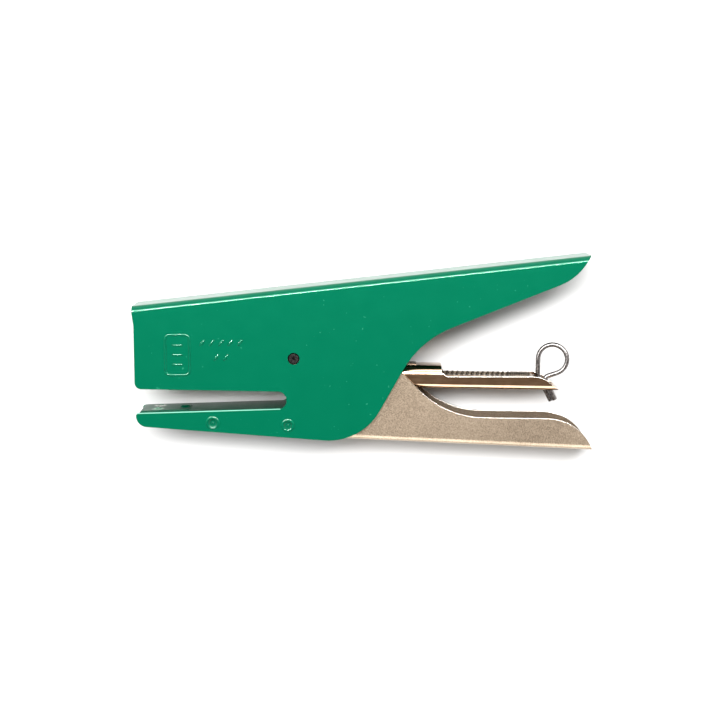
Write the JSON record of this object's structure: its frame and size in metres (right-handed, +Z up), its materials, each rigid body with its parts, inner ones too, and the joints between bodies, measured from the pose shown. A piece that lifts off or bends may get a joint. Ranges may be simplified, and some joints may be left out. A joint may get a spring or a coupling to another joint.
{
  "type": "plier stapler",
  "caption": "All-metal plier stapler: folded enamelled shell with a lower jaw and anvil, nickel lower handle, spring-fed magazine and a wire ring clip at its end.",
  "frame": {"origin": "centre of the bounding box's lower face, on the surface that the stapler lies on", "axes": "+X along the length from the jaw to the handle ends, +Y from the lower handle to the upper handle, +Z up through the width"},
  "size_m": [0.1578, 0.0671, 0.0185],
  "materials": {
    "enamel": "glossy green stove enamel",
    "nickel": "satin nickel plate with a fine speckled grain",
    "polished_steel": "bright drawn wire and rivets",
    "spring_steel": "oiled spring steel",
    "dark_steel": "blackened steel pin",
    "fibre": "dull fibre pad"
  },
  "bodies": {
    "frame": {"shell": "enamel", "anvil_bar": "enamel", "anvil_plate": "enamel", "anvil_rivet": "enamel", "pivot_pin": "dark_steel", "pivot_washers": "spring_steel", "spring_cup": "nickel", "return_spring": "spring_steel", "rest_stop": "fibre"},
    "lever": {"lever_handle": "nickel", "driver_bridge": "nickel", "driver_blade": "spring_steel", "driver_rivets": "polished_steel", "bridge_rivets": "polished_steel", "spring_crosspiece": "nickel", "crosspiece_rivets": "polished_steel"},
    "magazine": {"magazine_channel": "nickel", "staple_rail": "nickel", "rail_rivets": "polished_steel", "nose_plate": "nickel", "end_plate": "nickel", "guide_rod": "polished_steel", "pivot_bush": "nickel", "magazine_leaf_spring": "spring_steel", "leaf_rivet": "polished_steel", "pusher_spring": "spring_steel"},
    "pusher": {"staple_pusher": "polished_steel"},
    "clip": {"ring_clip": "polished_steel"}
  },
  "joints": [
    {"name": "lever_hinge", "type": "hinge", "parent": "frame", "child": "lever", "pos_m": [-0.02402, -0.00151, 0.00925], "axis": [0, 0, 1], "range_deg": [0, 17.5], "stiffness_Nm_per_rad": 0.6, "springref_deg": -14.32, "deforming": ["return_spring", "magazine_leaf_spring"]},
    {"name": "magazine_hinge", "type": "hinge", "parent": "frame", "child": "magazine", "pos_m": [-0.02402, -0.00151, 0.00925], "axis": [0, 0, 1], "range_deg": [0, 9.9]},
    {"name": "pusher_slide", "type": "slide", "parent": "magazine", "child": "pusher", "axis": [0.9999, -0.0168, 0], "range_m": [0, 0.055], "stiffness_N_per_m": 30, "springref_m": -0.06, "deforming": ["pusher_spring"]},
    {"name": "clip_slide", "type": "slide", "parent": "magazine", "child": "clip", "axis": [-0.4633, 0.8862, 0], "range_m": [0, 0.012]}
  ],
  "couplings": [
    {"joint": "magazine_hinge", "follows": "lever_hinge", "ratio": 0.56}
  ]
}
